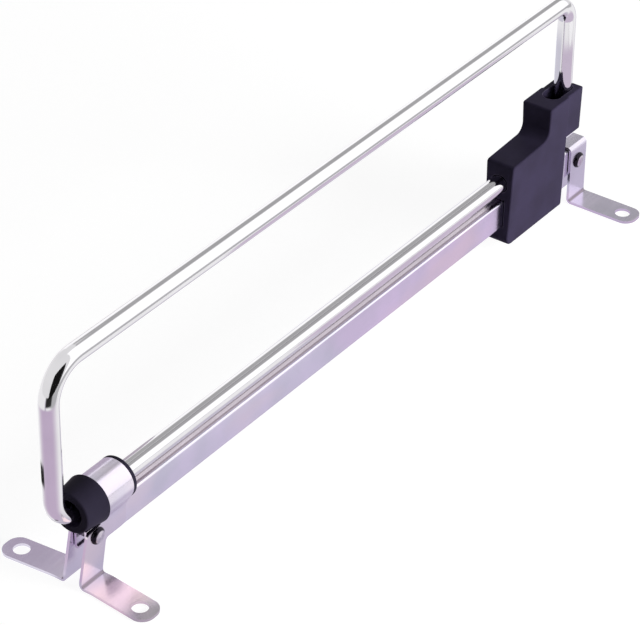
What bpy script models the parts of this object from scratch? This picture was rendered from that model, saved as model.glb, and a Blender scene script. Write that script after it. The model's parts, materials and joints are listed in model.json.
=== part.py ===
"""Pull-out clothes rail: a chrome hanging loop on a carriage that slides along a folded steel channel.

The rail stands on its four feet as in the photograph, which is upside down from its place under a shelf.
X runs across the rail, +Y runs to the back and +Z is up. The origin is the middle of the floor box.
All dimensions below are in millimetres and are turned into metres where a mesh is made.
"""

import math

import bmesh
import bpy
from mathutils import Matrix, Vector

MM = 0.001

# The hanging loop, one bent round rod
ROD_D = 8.0
LOOP_LENGTH = 344.0
LOOP_HEIGHT = 68.2
ROD_LOW_Z = 34.3
BEND_FRONT_TOP = 15.0
BEND_REAR_TOP = 9.0
BEND_FRONT_LOW = 12.0

# The nose bush that guides the lower run, and the ring behind it
BUSH_WALL = 3.0
NOSE_LENGTH = 11.8
NOSE_MOUTH_DEPTH = 4.0
NOSE_LIP = 1.4
NOSE_TAPER = 1.4
NOSE_ROUNDING = 0.6
BUSH_NECK_DEPTH = 1.4
RING_THICK = 1.2

# The folded steel channel
CHANNEL_WIDTH = 6.0
CHANNEL_HEIGHT = 13.0
CHANNEL_SHEET = 1.0
CHANNEL_LIP = 1.8
CHANNEL_LEAD = 6.5

# The two brackets, each folded from one strip
SHEET = 1.2
FOLD_INNER_R = 1.0
FOOT_WIDTH = 12.6
FOOT_REACH = 36.1
FOOT_CORNER_R = 5.4
FOOT_HOLE_D = 6.8
FOOT_HOLE_INSET = 7.3
FOOT_LEAD = 5.8
REAR_FOOT_BEHIND = 9.5
LEG_LEAN = 0.20
FOOT_SPLAY = 0.09
SLEEVE_LENGTH = 15.0
SLEEVE_WRAP_DEG = 30.0
SLEEVE_NECK_R = 4.0

# The carriage that slides on the channel and holds both ends of the loop
CARRIAGE_LENGTH = 44.5
CARRIAGE_SIDE_WALL = 2.4
CARRIAGE_SIDE_DRAFT_DEG = 1.6
CARRIAGE_FLOOR = 8.9
CARRIAGE_ROOF = 5.7
CARRIAGE_FRONT_DRAFT = 1.2
CARRIAGE_EDGE = 0.7
TOWER_RISE = 15.5
TOWER_LENGTH = 15.1
TOWER_FILLET = 4.5
STEP_RISE = 1.2
SOCKET_LENGTH = 17.0
SOCKET_DEPTH = 16.8
SOCKET_FLOOR = 4.5
SOCKET_REAR_WALL = 1.6
COLUMN_STEP = 0.6
LOW_SEAT_DEPTH = 10.0

# The rivets and screws
RIVET_HEAD_R = 3.6
RIVET_HEAD_H = 1.6
RIVET_SHANK_R = 2.0
RIVET_TAIL_R = 2.6
RIVET_TAIL_H = 0.8
RIVET_UP = 6.0
SCREW_HEAD_R = 3.0
SCREW_HEAD_H = 2.4
SCREW_SHANK_R = 1.75
SCREW_GRIP = 11.0

# The gap left between neighbouring pieces, and the room left at the end of a blind hole
GAP = 0.3
HOLE_END = 1.0

# How finely round shapes are divided
ROUND = 32
ROD_ROUND = 24
BEND_STEPS = 8

# Places along the loop
ROD_R = ROD_D / 2
LOOP_TOP_Z = ROD_LOW_Z + LOOP_HEIGHT
NOSE_FRONT_Y = BEND_FRONT_LOW + GAP - NOSE_MOUTH_DEPTH
SLEEVE_FRONT_Y = NOSE_FRONT_Y + NOSE_LENGTH + GAP
SLEEVE_REAR_Y = SLEEVE_FRONT_Y + SLEEVE_LENGTH
FRONT_FOOT_Y = SLEEVE_FRONT_Y - FOOT_LEAD
REAR_FOOT_Y = LOOP_LENGTH + REAR_FOOT_BEHIND

# Radii of the bush, its ring and the sleeve round it
BUSH_BORE_R = ROD_R + GAP
BEND_RISE = BEND_FRONT_LOW - math.sqrt(BEND_FRONT_LOW**2 - NOSE_MOUTH_DEPTH**2)
NOSE_MOUTH_R = BUSH_BORE_R + 2 * BEND_RISE
BUSH_BODY_R = BUSH_BORE_R + BUSH_WALL
BUSH_NECK_R = BUSH_BODY_R - BUSH_NECK_DEPTH
SLEEVE_INNER_R = BUSH_BODY_R + GAP
SLEEVE_R = SLEEVE_INNER_R + SHEET
NOSE_REAR_R = SLEEVE_R + NOSE_LIP
NOSE_FRONT_R = NOSE_REAR_R - NOSE_TAPER
RING_R = SLEEVE_R

# The channel under the sleeve, and the legs on its walls
CHANNEL_HALF = CHANNEL_WIDTH / 2
CHANNEL_TOP_Z = ROD_LOW_Z - SLEEVE_INNER_R
CHANNEL_BOTTOM_Z = CHANNEL_TOP_Z - CHANNEL_HEIGHT
CHANNEL_FRONT_Y = SLEEVE_FRONT_Y - CHANNEL_LEAD
NOSE_UNDER_Z = ROD_LOW_Z - NOSE_REAR_R - GAP
WEB_Z = CHANNEL_TOP_Z + GAP
LEG_INNER_X = CHANNEL_HALF + GAP
LEG_OUTER_X = LEG_INNER_X + SHEET
FOLD_OUTER_R = FOLD_INNER_R + SHEET
FOOT_HALF = FOOT_WIDTH / 2
HOLE_X = FOOT_REACH - FOOT_HOLE_INSET
SPLAY_START_X = SLEEVE_R + GAP
RIVET_Z = CHANNEL_BOTTOM_Z + RIVET_UP
FRONT_RIVET_Y = FRONT_FOOT_Y + LEG_LEAN * RIVET_Z

# The carriage round the channel and the two rod ends
SOCKET_R = ROD_R + GAP
SCREW_HOLE_R = SCREW_SHANK_R + GAP
CARRIAGE_HALF = SOCKET_R + CARRIAGE_SIDE_WALL
CARRIAGE_BOTTOM_Z = CHANNEL_BOTTOM_Z - GAP - CARRIAGE_FLOOR
CARRIAGE_STEP_Z = ROD_LOW_Z + SOCKET_R + CARRIAGE_ROOF
TOWER_TOP_Z = CARRIAGE_STEP_Z + TOWER_RISE
SOCKET_FLOOR_Z = TOWER_TOP_Z - SOCKET_DEPTH
COLUMN_UNDER_Z = SOCKET_FLOOR_Z - SOCKET_FLOOR
COLUMN_FRONT_Y = LOOP_LENGTH - SCREW_HEAD_R - 3 * GAP
COLUMN_REAR_Y = LOOP_LENGTH + SOCKET_R + SOCKET_REAR_WALL
CARRIAGE_FRONT_Y = COLUMN_FRONT_Y - CARRIAGE_LENGTH
TOWER_FRONT_Y = COLUMN_FRONT_Y - TOWER_LENGTH
LOW_ROD_END_Y = COLUMN_FRONT_Y - LOW_SEAT_DEPTH
LOW_SCREW_SEAT_Y = COLUMN_FRONT_Y - SCREW_HEAD_H - 3 * GAP

# The whole rail from front to back
FRONT_END = -ROD_R
REAR_END = REAR_FOOT_Y + FOOT_HALF
CHANNEL_REAR_Y = REAR_END - GAP
MID_Y = (FRONT_END + REAR_END) / 2


def clear_scene():
    for obj in list(bpy.data.objects):
        bpy.data.objects.remove(obj, do_unlink=True)


def finish_material(name, colour, roughness, metallic):
    material = bpy.data.materials.new(name)
    material.use_nodes = True
    shader = material.node_tree.nodes["Principled BSDF"]
    shader.inputs["Base Color"].default_value = (*colour, 1.0)
    shader.inputs["Roughness"].default_value = roughness
    shader.inputs["Metallic"].default_value = metallic
    return material


def place(x, y, z):
    """A point of the drawing in metres, with the middle of the floor box as the origin."""
    return Vector((x * MM, (y - MID_Y) * MM, z * MM))


def to_object(name, bm, material=None):
    """Welds and turns the faces outwards, and adds the mesh to the scene as one object."""
    bmesh.ops.remove_doubles(bm, verts=bm.verts, dist=1e-7)
    bmesh.ops.recalc_face_normals(bm, faces=bm.faces)
    mesh = bpy.data.meshes.new(name)
    bm.to_mesh(mesh)
    bm.free()
    obj = bpy.data.objects.new(name, mesh)
    bpy.context.collection.objects.link(obj)
    if material:
        mesh.materials.append(material)
        mesh.shade_smooth()
        mesh.set_sharp_from_angle(angle=math.radians(35))
    return obj


def filleted(corners, radii, steps=BEND_STEPS, closed=False):
    """The 2-D corners with an arc of the given radius at each corner that has one."""
    points = []
    count = len(corners)
    for i, (corner, radius) in enumerate(zip(corners, radii)):
        corner = Vector(corner)
        if not radius or (not closed and i in (0, count - 1)):
            points.append(corner)
            continue
        to_last = (Vector(corners[i - 1]) - corner).normalized()
        to_next = (Vector(corners[(i + 1) % count]) - corner).normalized()
        half = to_last.angle(to_next) / 2
        reach = radius / math.tan(half)
        centre = corner + (to_last + to_next).normalized() * (radius / math.sin(half))
        start = corner + to_last * reach - centre
        end = corner + to_next * reach - centre
        turn = start.angle_signed(end)
        for k in range(steps + 1):
            points.append(centre + Matrix.Rotation(-turn * k / steps, 2) @ start)
    return points


def arc(centre, radius, start_deg, end_deg, steps):
    """Points of an arc in a 2-D plane."""
    points = []
    for k in range(steps + 1):
        angle = math.radians(start_deg + (end_deg - start_deg) * k / steps)
        points.append(Vector((centre[0] + radius * math.cos(angle), centre[1] + radius * math.sin(angle))))
    return points


def offset_left(path, distance):
    """The open 2-D path moved to its left by a sheet's thickness, mitred at each bend."""
    moved = []
    for i, point in enumerate(path):
        before = (point - path[i - 1]).normalized() if i else None
        after = (path[i + 1] - point).normalized() if i + 1 < len(path) else None
        before = before or after
        after = after or before
        normal = (Vector((-before.y, before.x)) + Vector((-after.y, after.x))).normalized()
        moved.append(point + normal * (distance / normal.dot(Vector((-after.y, after.x)))))
    return moved


def prism(name, outline, axis, start, end, material=None):
    """A closed outline drawn across the given axis and extruded along it."""
    spots = {
        "X": lambda p, along: place(along, p[0], p[1]),
        "Y": lambda p, along: place(p[0], along, p[1]),
        "Z": lambda p, along: place(p[0], p[1], along),
    }
    bm = bmesh.new()
    base = bm.faces.new([bm.verts.new(spots[axis](p, start)) for p in outline])
    grown = bmesh.ops.extrude_face_region(bm, geom=[base])
    shift = spots[axis]((0, 0), end) - spots[axis]((0, 0), start)
    ends = [v for v in grown["geom"] if isinstance(v, bmesh.types.BMVert)]
    bmesh.ops.translate(bm, vec=shift, verts=ends)
    return to_object(name, bm, material)


def turned(name, profile, axis, centre, material=None, steps=ROUND):
    """A solid of revolution. The profile holds (radius, distance along the axis from the centre)."""
    across = {"X": Vector((0, 1, 0)), "Y": Vector((0, 0, 1)), "Z": Vector((1, 0, 0))}[axis]
    along = {"X": Vector((1, 0, 0)), "Y": Vector((0, 1, 0)), "Z": Vector((0, 0, 1))}[axis]
    middle = place(*centre)
    bm = bmesh.new()
    verts = [bm.verts.new(middle + (across * r + along * s) * MM) for r, s in profile]
    loop = [bm.edges.new(pair) for pair in zip(verts, verts[1:] + verts[:1])]
    turn = {"cent": middle, "axis": along, "angle": math.tau, "steps": steps, "use_merge": True}
    bmesh.ops.spin(bm, geom=verts + loop, **turn)
    return to_object(name, bm, material)


def pin(name, axis, centre, radius, start, end, material=None, steps=ROUND):
    """A plain cylinder from start to end along its axis."""
    return turned(name, [(0, start), (radius, start), (radius, end), (0, end)], axis, centre, material, steps)


def swept_rod(name, centreline, radius, material):
    """A round rod along a centreline of (y, z) points in the middle plane."""
    bm = bmesh.new()
    rings = []
    for i, point in enumerate(centreline):
        before = centreline[max(i - 1, 0)]
        after = centreline[min(i + 1, len(centreline) - 1)]
        tangent = ((point - before).normalized() + (after - point).normalized()).normalized()
        ring = []
        for k in range(ROD_ROUND):
            angle = math.tau * k / ROD_ROUND
            side = radius * math.sin(angle)
            ring.append(
                bm.verts.new(
                    place(radius * math.cos(angle), point.x - tangent.y * side, point.y + tangent.x * side)
                )
            )
        rings.append(ring)
    for ring, following in zip(rings, rings[1:]):
        for k in range(ROD_ROUND):
            j = (k + 1) % ROD_ROUND
            bm.faces.new((ring[k], ring[j], following[j], following[k]))
    bm.faces.new(rings[0])
    bm.faces.new(rings[-1])
    return to_object(name, bm, material)


def combine(obj, helper, operation):
    """Cuts a helper from an object, or keeps what both share. The helper stays as a hidden wire."""
    modifier = obj.modifiers.new(helper.name, "BOOLEAN")
    modifier.operation = operation
    modifier.solver = "EXACT"
    modifier.object = helper
    helper.hide_render = True
    helper.display_type = "WIRE"


def soften(obj, width, segments=2):
    """A small rounded edge on every corner sharper than 40 degrees."""
    modifier = obj.modifiers.new("edge rounding", "BEVEL")
    modifier.width = width * MM
    modifier.segments = segments
    modifier.limit_method = "ANGLE"
    modifier.angle_limit = math.radians(40)


def folded_strip(name, half_path, start_y, end_y, material):
    """A strip of sheet folded about Y. The half path runs along its inner side, from the middle to a foot."""
    inner = [Vector((-p.x, p.y)) for p in reversed(half_path[1:])] + half_path
    outer = offset_left(inner, SHEET)
    return prism(name, inner + outer[::-1], "Y", start_y, end_y, material)


def round_feet(bracket, foot_y, splay=0.0):
    """Rounds the ends of both feet and drills a screw hole in each. The splay turns the feet to the front."""
    edge = FOOT_HALF + 0.05
    wide = 6 * FOOT_WIDTH
    inner = FOOT_REACH - FOOT_WIDTH
    end = FOOT_REACH
    right = [(inner, wide), (inner, edge), (end, edge), (end, -edge), (inner, -edge), (inner, -wide)]
    right = [(x, foot_y + y - splay * (x - SPLAY_START_X)) for x, y in right]
    corners = right + [(-x, y) for x, y in reversed(right)]
    hole_y = foot_y - splay * (HOLE_X - SPLAY_START_X)
    radii = [0, 0, FOOT_CORNER_R, FOOT_CORNER_R, 0, 0]
    plan = filleted(corners, radii + radii, closed=True)
    combine(bracket, prism(bracket.name + "_plan", plan, "Z", -SHEET, LOOP_TOP_Z), "INTERSECT")
    for side, x in (("right", HOLE_X), ("left", -HOLE_X)):
        drill = pin(f"{bracket.name}_{side}_drill", "Z", (x, hole_y, 0), FOOT_HOLE_D / 2, -SHEET, 3 * SHEET)
        combine(bracket, drill, "DIFFERENCE")


def splayed_trim(name, outline, splay):
    """A side outline across the middle of the rail, carried outwards and forwards over both feet."""
    trim = prism(name, outline, "X", -SPLAY_START_X, SPLAY_START_X)
    bm = bmesh.new()
    bm.from_mesh(trim.data)
    reach = 2 * FOOT_REACH
    for end in [face for face in bm.faces if abs(face.normal.x) > 0.9]:
        way = Vector((math.copysign(reach, end.normal.x), -splay * reach, 0)) * MM
        grown = bmesh.ops.extrude_discrete_faces(bm, faces=[end])["faces"][0]
        bmesh.ops.translate(bm, vec=way, verts=grown.verts)
    bm.to_mesh(trim.data)
    bm.free()
    return trim


def drill_for_rivets(obj, end, y):
    """One straight hole for the two rivets at one end of the rail."""
    reach = LEG_OUTER_X + SHEET
    drill = pin(f"{obj.name}_{end}_drill", "X", (0, y, RIVET_Z), RIVET_SHANK_R + GAP, -reach, reach)
    combine(obj, drill, "DIFFERENCE")


def make_channel(material):
    """A closed top, two walls and two inward lips below. The top is cut back at the front under the nose."""
    half = CHANNEL_HALF
    inside = CHANNEL_HALF - CHANNEL_SHEET
    slot = CHANNEL_HALF - CHANNEL_LIP
    top = CHANNEL_TOP_Z
    under_top = CHANNEL_TOP_Z - CHANNEL_SHEET
    low = CHANNEL_BOTTOM_Z
    over_lip = CHANNEL_BOTTOM_Z + CHANNEL_SHEET
    right = [(half, top), (half, low), (slot, low), (slot, over_lip), (inside, over_lip), (inside, under_top)]
    left = [(-x, z) for x, z in reversed(right)]
    fold_r = CHANNEL_SHEET
    lip_r = 0.6 * CHANNEL_SHEET
    radii = [fold_r, lip_r, 0, 0, 0, 0]
    section = filleted(right + left, radii + radii[::-1], steps=4, closed=True)
    channel = prism("rail_channel", section, "Y", CHANNEL_FRONT_Y, CHANNEL_REAR_Y, material)
    notch_y = SLEEVE_FRONT_Y + GAP
    notch_z = NOSE_UNDER_Z - 2 * GAP
    notch = [(FRONT_END, notch_z), (notch_y, notch_z), (notch_y, ROD_LOW_Z), (FRONT_END, ROD_LOW_Z)]
    combine(channel, prism("rail_channel_notch", notch, "X", -CHANNEL_WIDTH, CHANNEL_WIDTH), "DIFFERENCE")
    drill_for_rivets(channel, "front", FRONT_RIVET_Y)
    drill_for_rivets(channel, "rear", REAR_FOOT_Y)
    return channel


def make_front_bracket(material):
    """A strip wrapped over the bush as a sleeve, drawn in to the channel and folded out into two feet."""
    wrap = arc((0, ROD_LOW_Z), SLEEVE_INNER_R, 90, -SLEEVE_WRAP_DEG, ROUND // 2)
    draw_in = (wrap[-1].x - LEG_INNER_X) / math.tan(math.radians(SLEEVE_WRAP_DEG))
    fall = [wrap[-1], (LEG_INNER_X, wrap[-1].y - draw_in), (LEG_INNER_X, 0), (FOOT_REACH + FOOT_HALF, 0)]
    leg = filleted(fall, [0, SLEEVE_NECK_R, FOLD_OUTER_R, 0])
    bracket = folded_strip("front_bracket", wrap + leg[1:], FRONT_END, 2 * SLEEVE_REAR_Y, material)
    front = FRONT_FOOT_Y - FOOT_HALF
    rear = FRONT_FOOT_Y + FOOT_HALF
    fold_z = FOLD_OUTER_R + SHEET
    shoulder_z = NOSE_UNDER_Z - SHEET
    above = LOOP_TOP_Z
    under_z = CHANNEL_BOTTOM_Z + 2 * CHANNEL_SHEET
    side = [(front, -SHEET), (rear, -SHEET), (rear, fold_z)]
    side += [(rear + LEG_LEAN * (under_z - fold_z), under_z)]
    side += [(SLEEVE_REAR_Y, under_z), (SLEEVE_REAR_Y, above)]
    side += [(SLEEVE_FRONT_Y, above), (SLEEVE_FRONT_Y, NOSE_UNDER_Z)]
    side += [(front + LEG_LEAN * shoulder_z, shoulder_z), (front, fold_z)]
    outline = filleted(side, [0, 0, 4, 2, 3, 0, 0, 0, 2, 4], steps=5, closed=True)
    combine(bracket, splayed_trim("front_bracket_side", outline, FOOT_SPLAY), "INTERSECT")
    round_feet(bracket, FRONT_FOOT_Y, FOOT_SPLAY)
    drill_for_rivets(bracket, "front", FRONT_RIVET_Y)
    return bracket


def make_rear_bracket(material):
    """A hat-shaped strip over the back end of the channel, folded out into two feet."""
    corners = [(0, WEB_Z), (LEG_INNER_X, WEB_Z), (LEG_INNER_X, 0), (FOOT_REACH + FOOT_HALF, 0)]
    path = filleted(corners, [0, FOLD_INNER_R, FOLD_OUTER_R, 0])
    bracket = folded_strip("rear_bracket", path, REAR_FOOT_Y - FOOT_HALF, REAR_END, material)
    round_feet(bracket, REAR_FOOT_Y)
    drill_for_rivets(bracket, "rear", REAR_FOOT_Y)
    return bracket


def make_rivet(name, side, y, material):
    """A domed rivet from outside a leg, through the channel's wall, to a flat tail inside the channel."""
    seat = LEG_OUTER_X + GAP
    tail = CHANNEL_HALF - CHANNEL_SHEET - GAP
    dome_r = (RIVET_HEAD_R**2 + RIVET_HEAD_H**2) / (2 * RIVET_HEAD_H)
    rise = math.degrees(math.asin(RIVET_HEAD_R / dome_r))
    dome = arc((0, seat + RIVET_HEAD_H - dome_r), dome_r, 90, 90 - rise, 6)
    profile = [(p.x, p.y) for p in dome]
    profile += [(RIVET_SHANK_R, seat), (RIVET_SHANK_R, tail), (RIVET_TAIL_R, tail)]
    profile += [(RIVET_TAIL_R, tail - RIVET_TAIL_H), (0, tail - RIVET_TAIL_H)]
    mirrored = [(r, side * s) for r, s in profile]
    return turned(name, mirrored, "X", (0, y, RIVET_Z), material)


def cut_flat(obj, start_y, half_width):
    """Cuts a flat under a round piece so that it clears the channel's top."""
    low = CHANNEL_BOTTOM_Z
    below = [(-half_width, low), (half_width, low), (half_width, WEB_Z), (-half_width, WEB_Z)]
    flat = prism(obj.name + "_flat", below, "Y", start_y, SLEEVE_REAR_Y + 4 * RING_THICK)
    combine(obj, flat, "DIFFERENCE")


def make_bush(material):
    """A nose in front of the sleeve, a body inside it and a neck behind it that carries the ring.

    The bore flares at the mouth, where the end of the loop's lower bend nests when the rail is pushed in.
    """
    seat = SLEEVE_FRONT_Y - GAP
    neck = SLEEVE_REAR_Y + GAP
    end = neck + RING_THICK + GAP
    soft = NOSE_ROUNDING
    front = arc((NOSE_FRONT_R - soft, NOSE_FRONT_Y + soft), soft, -90, 0, 4)
    rim = arc((NOSE_REAR_R - soft, seat - soft), soft, 0, 90, 4)
    profile = [(NOSE_MOUTH_R, NOSE_FRONT_Y), *front, *rim, (BUSH_BODY_R, seat), (BUSH_BODY_R, neck)]
    profile += [(BUSH_NECK_R, neck), (BUSH_NECK_R, end), (BUSH_BORE_R, end)]
    profile += [(BUSH_BORE_R, NOSE_FRONT_Y + NOSE_MOUTH_DEPTH)]
    bush = turned("nose_bush", profile, "Y", (0, 0, ROD_LOW_Z), material)
    cut_flat(bush, SLEEVE_FRONT_Y - GAP / 2, SLEEVE_R)
    return bush


def make_ring(material):
    """The flat ring on the neck of the bush, which holds the bush in the sleeve."""
    start = SLEEVE_REAR_Y + GAP
    end = start + RING_THICK
    inner = BUSH_NECK_R + GAP
    profile = [(inner, start), (RING_R, start), (RING_R, end), (inner, end)]
    ring = turned("bush_retaining_ring", profile, "Y", (0, 0, ROD_LOW_Z), material)
    cut_flat(ring, SLEEVE_REAR_Y, 2 * RING_R)
    return ring


def make_loop(material):
    """Rear leg, top run, front leg and lower run in one bent rod, with a tapped hole in each end."""
    leg_end = SOCKET_FLOOR_Z + GAP
    corners = [(LOOP_LENGTH, leg_end), (LOOP_LENGTH, LOOP_TOP_Z), (0, LOOP_TOP_Z)]
    corners += [(0, ROD_LOW_Z), (LOW_ROD_END_Y, ROD_LOW_Z)]
    line = filleted(corners, [0, BEND_REAR_TOP, BEND_FRONT_TOP, BEND_FRONT_LOW, 0], steps=10)
    loop = swept_rod("loop_rod", line, ROD_R, material)
    depth = SCREW_GRIP + HOLE_END
    low = pin("loop_rod_low_tap", "Y", (0, LOW_ROD_END_Y, ROD_LOW_Z), SCREW_HOLE_R, -depth, ROD_D, steps=16)
    leg = pin("loop_rod_leg_tap", "Z", (0, LOOP_LENGTH, leg_end), SCREW_HOLE_R, -ROD_D, depth, steps=16)
    combine(loop, low, "DIFFERENCE")
    combine(loop, leg, "DIFFERENCE")
    return loop


def lean_sides(obj):
    """Moulding draft: the side walls spread towards the top, from their set width at the lower run."""
    spread = math.tan(math.radians(CARRIAGE_SIDE_DRAFT_DEG))
    for vertex in obj.data.vertices:
        vertex.co.x += math.copysign(spread, vertex.co.x) * (vertex.co.z - ROD_LOW_Z * MM)


def make_carriage_body(material):
    """The stepped side profile across the full width, with the narrower column behind the tower."""
    front = CARRIAGE_FRONT_Y
    rear = COLUMN_FRONT_Y
    side = [(front - CARRIAGE_FRONT_DRAFT, CARRIAGE_BOTTOM_Z), (rear, CARRIAGE_BOTTOM_Z), (rear, TOWER_TOP_Z)]
    side += [(TOWER_FRONT_Y, TOWER_TOP_Z), (TOWER_FRONT_Y, CARRIAGE_STEP_Z + STEP_RISE)]
    side += [(front, CARRIAGE_STEP_Z)]
    outline = filleted(side, [4.0, 1.0, 0, 1.0, TOWER_FILLET, 1.5], steps=6, closed=True)
    body = prism("carriage_block", outline, "X", -CARRIAGE_HALF, CARRIAGE_HALF, material)
    lean_sides(body)
    soften(body, CARRIAGE_EDGE)
    start = rear - SOCKET_REAR_WALL
    end = COLUMN_REAR_Y
    column = [(start, COLUMN_UNDER_Z), (end, COLUMN_UNDER_Z), (end, TOWER_TOP_Z), (start, TOWER_TOP_Z)]
    half = CARRIAGE_HALF - COLUMN_STEP
    back = prism("carriage_block_column", column, "X", -half, half)
    lean_sides(back)
    soften(back, CARRIAGE_EDGE)
    combine(body, back, "UNION")
    return body


def make_carriage(material):
    """The carriage with its tunnel for the channel, its seats for the two rod ends and its screw holes."""
    carriage = make_carriage_body(material)
    before = CARRIAGE_FRONT_Y - CARRIAGE_LENGTH
    side = CHANNEL_HALF + GAP
    low = CHANNEL_BOTTOM_Z - GAP
    high = CHANNEL_TOP_Z + GAP
    tunnel = [(-side, low), (side, low), (side, high), (-side, high)]
    combine(carriage, prism("carriage_block_tunnel", tunnel, "Y", before, REAR_END), "DIFFERENCE")
    bore_end = LOW_ROD_END_Y + GAP
    head_r = SCREW_HEAD_R + 2 * GAP
    behind = COLUMN_FRONT_Y + GAP
    bore = [(0, before), (SOCKET_R, before), (SOCKET_R, bore_end), (SCREW_HOLE_R, bore_end)]
    bore += [(SCREW_HOLE_R, LOW_SCREW_SEAT_Y), (head_r, LOW_SCREW_SEAT_Y), (head_r, behind), (0, behind)]
    combine(carriage, turned("carriage_block_bore", bore, "Y", (0, 0, ROD_LOW_Z)), "DIFFERENCE")
    slot_y = LOOP_LENGTH + 2 * SOCKET_R - SOCKET_LENGTH
    slot = arc((0, slot_y), SOCKET_R, -180, 0, ROUND // 2)
    slot += arc((0, LOOP_LENGTH), SOCKET_R, 0, 180, ROUND // 2)
    combine(carriage, prism("carriage_block_socket", slot, "Z", SOCKET_FLOOR_Z, LOOP_TOP_Z), "DIFFERENCE")
    under = COLUMN_UNDER_Z - SOCKET_FLOOR
    drill = pin("carriage_block_drill", "Z", (0, LOOP_LENGTH, 0), SCREW_HOLE_R, under, TOWER_TOP_Z, steps=16)
    combine(carriage, drill, "DIFFERENCE")
    return carriage


def make_screw(name, axis, direction, seat, reach, material):
    """A pan-head screw whose shank runs through the carriage and into a tapped end of the loop."""
    soft = SCREW_HEAD_H / 3
    head = [(0, -SCREW_HEAD_H), (SCREW_HEAD_R - soft, -SCREW_HEAD_H), (SCREW_HEAD_R, -SCREW_HEAD_H + soft)]
    shank = [(SCREW_HEAD_R, 0), (SCREW_SHANK_R, 0), (SCREW_SHANK_R, reach), (0, reach)]
    profile = [(r, direction * s) for r, s in head + shank]
    return turned(name, profile, axis, seat, material, steps=20)


clear_scene()
chrome = finish_material("polished_chrome", (0.80, 0.79, 0.83), 0.08, 1.0)
plated = finish_material("plated_sheet_steel", (0.74, 0.71, 0.77), 0.20, 1.0)
rivet_steel = finish_material("rivet_steel", (0.66, 0.64, 0.68), 0.25, 1.0)
screw_steel = finish_material("zinc_screw_steel", (0.62, 0.62, 0.60), 0.30, 1.0)
black = finish_material("black_plastic", (0.020, 0.018, 0.026), 0.45, 0.0)

# The fixed pieces
make_channel(plated)
make_front_bracket(plated)
make_rear_bracket(plated)
for end_name, rivet_y in (("front", FRONT_RIVET_Y), ("rear", REAR_FOOT_Y)):
    for side_name, side_sign in (("right", 1), ("left", -1)):
        make_rivet(f"{end_name}_rivet_{side_name}", side_sign, rivet_y, rivet_steel)
make_bush(black)
make_ring(black)

# The pieces that pull out
low_seat = (0, LOW_SCREW_SEAT_Y + GAP, ROD_LOW_Z)
low_reach = LOW_SCREW_SEAT_Y + GAP - LOW_ROD_END_Y + SCREW_GRIP
leg_seat = (0, LOOP_LENGTH, COLUMN_UNDER_Z - GAP)
leg_reach = SOCKET_FLOOR + 2 * GAP + SCREW_GRIP
pull_out = [
    make_loop(chrome),
    make_carriage(black),
    make_screw("lower_run_screw", "Y", -1, low_seat, low_reach, screw_steel),
    make_screw("rear_leg_screw", "Z", 1, leg_seat, leg_reach, screw_steel),
]

# They hang on an empty that sits on the pull-out axis, at the front of the carriage
slide_axis = bpy.data.objects.new("pull_out_axis", None)
slide_axis.location = place(0, CARRIAGE_FRONT_Y, ROD_LOW_Z)
bpy.context.collection.objects.link(slide_axis)
bpy.context.view_layer.update()
for piece in pull_out:
    piece.parent = slide_axis
    piece.matrix_parent_inverse = slide_axis.matrix_world.inverted()
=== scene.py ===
# %% [markdown]
# # A pull-out clothes rail in chrome, plated sheet and black plastic
# On the real rail a bent chrome loop slides out of a wardrobe along a narrow steel channel. This lesson
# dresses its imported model. The frame gives every piece its true place, so each step below only has to
# make one piece or one finish well, and hand it to the body of the frame that carries it.

# %% Load the frame
import json
import math

import bmesh
import bpy
from mathutils import Matrix, Vector

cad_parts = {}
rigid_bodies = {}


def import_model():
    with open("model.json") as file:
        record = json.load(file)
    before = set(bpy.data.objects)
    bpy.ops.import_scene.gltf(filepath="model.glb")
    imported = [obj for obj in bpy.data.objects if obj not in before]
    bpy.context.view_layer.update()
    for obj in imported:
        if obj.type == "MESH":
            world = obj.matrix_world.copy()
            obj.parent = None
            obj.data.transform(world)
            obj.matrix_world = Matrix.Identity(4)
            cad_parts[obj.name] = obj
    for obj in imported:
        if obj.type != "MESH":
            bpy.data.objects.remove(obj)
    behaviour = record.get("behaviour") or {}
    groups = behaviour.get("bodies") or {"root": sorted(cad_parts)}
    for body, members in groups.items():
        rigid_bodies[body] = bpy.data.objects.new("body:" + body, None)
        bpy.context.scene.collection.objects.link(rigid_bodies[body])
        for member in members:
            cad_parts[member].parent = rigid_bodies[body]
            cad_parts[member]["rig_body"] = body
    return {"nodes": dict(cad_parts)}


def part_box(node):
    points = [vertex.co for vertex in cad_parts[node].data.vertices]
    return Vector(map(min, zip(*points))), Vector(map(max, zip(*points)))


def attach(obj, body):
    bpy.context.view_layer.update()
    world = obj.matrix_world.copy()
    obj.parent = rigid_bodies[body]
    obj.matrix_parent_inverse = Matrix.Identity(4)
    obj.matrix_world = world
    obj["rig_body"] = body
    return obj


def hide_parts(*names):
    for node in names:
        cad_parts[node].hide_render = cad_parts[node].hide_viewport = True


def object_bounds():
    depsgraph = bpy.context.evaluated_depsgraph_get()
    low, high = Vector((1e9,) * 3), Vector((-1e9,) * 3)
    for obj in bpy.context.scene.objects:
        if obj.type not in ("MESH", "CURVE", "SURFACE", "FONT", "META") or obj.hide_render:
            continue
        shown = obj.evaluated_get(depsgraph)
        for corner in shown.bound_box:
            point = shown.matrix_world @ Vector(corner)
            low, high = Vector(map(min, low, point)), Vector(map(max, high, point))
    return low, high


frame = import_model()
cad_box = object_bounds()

MM = 0.001
nodes = frame["nodes"]

# %% [markdown]
# ## Sizes that come from the frame
# A dressed piece must sit exactly where its solid sits. Its place could be typed in again, but then it
# would go wrong as soon as the solid changed, so it is read from the solid's box. Half the loop's width
# is the rod's radius, and the sides of its box less that radius are the centre lines of its runs and
# legs.

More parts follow.
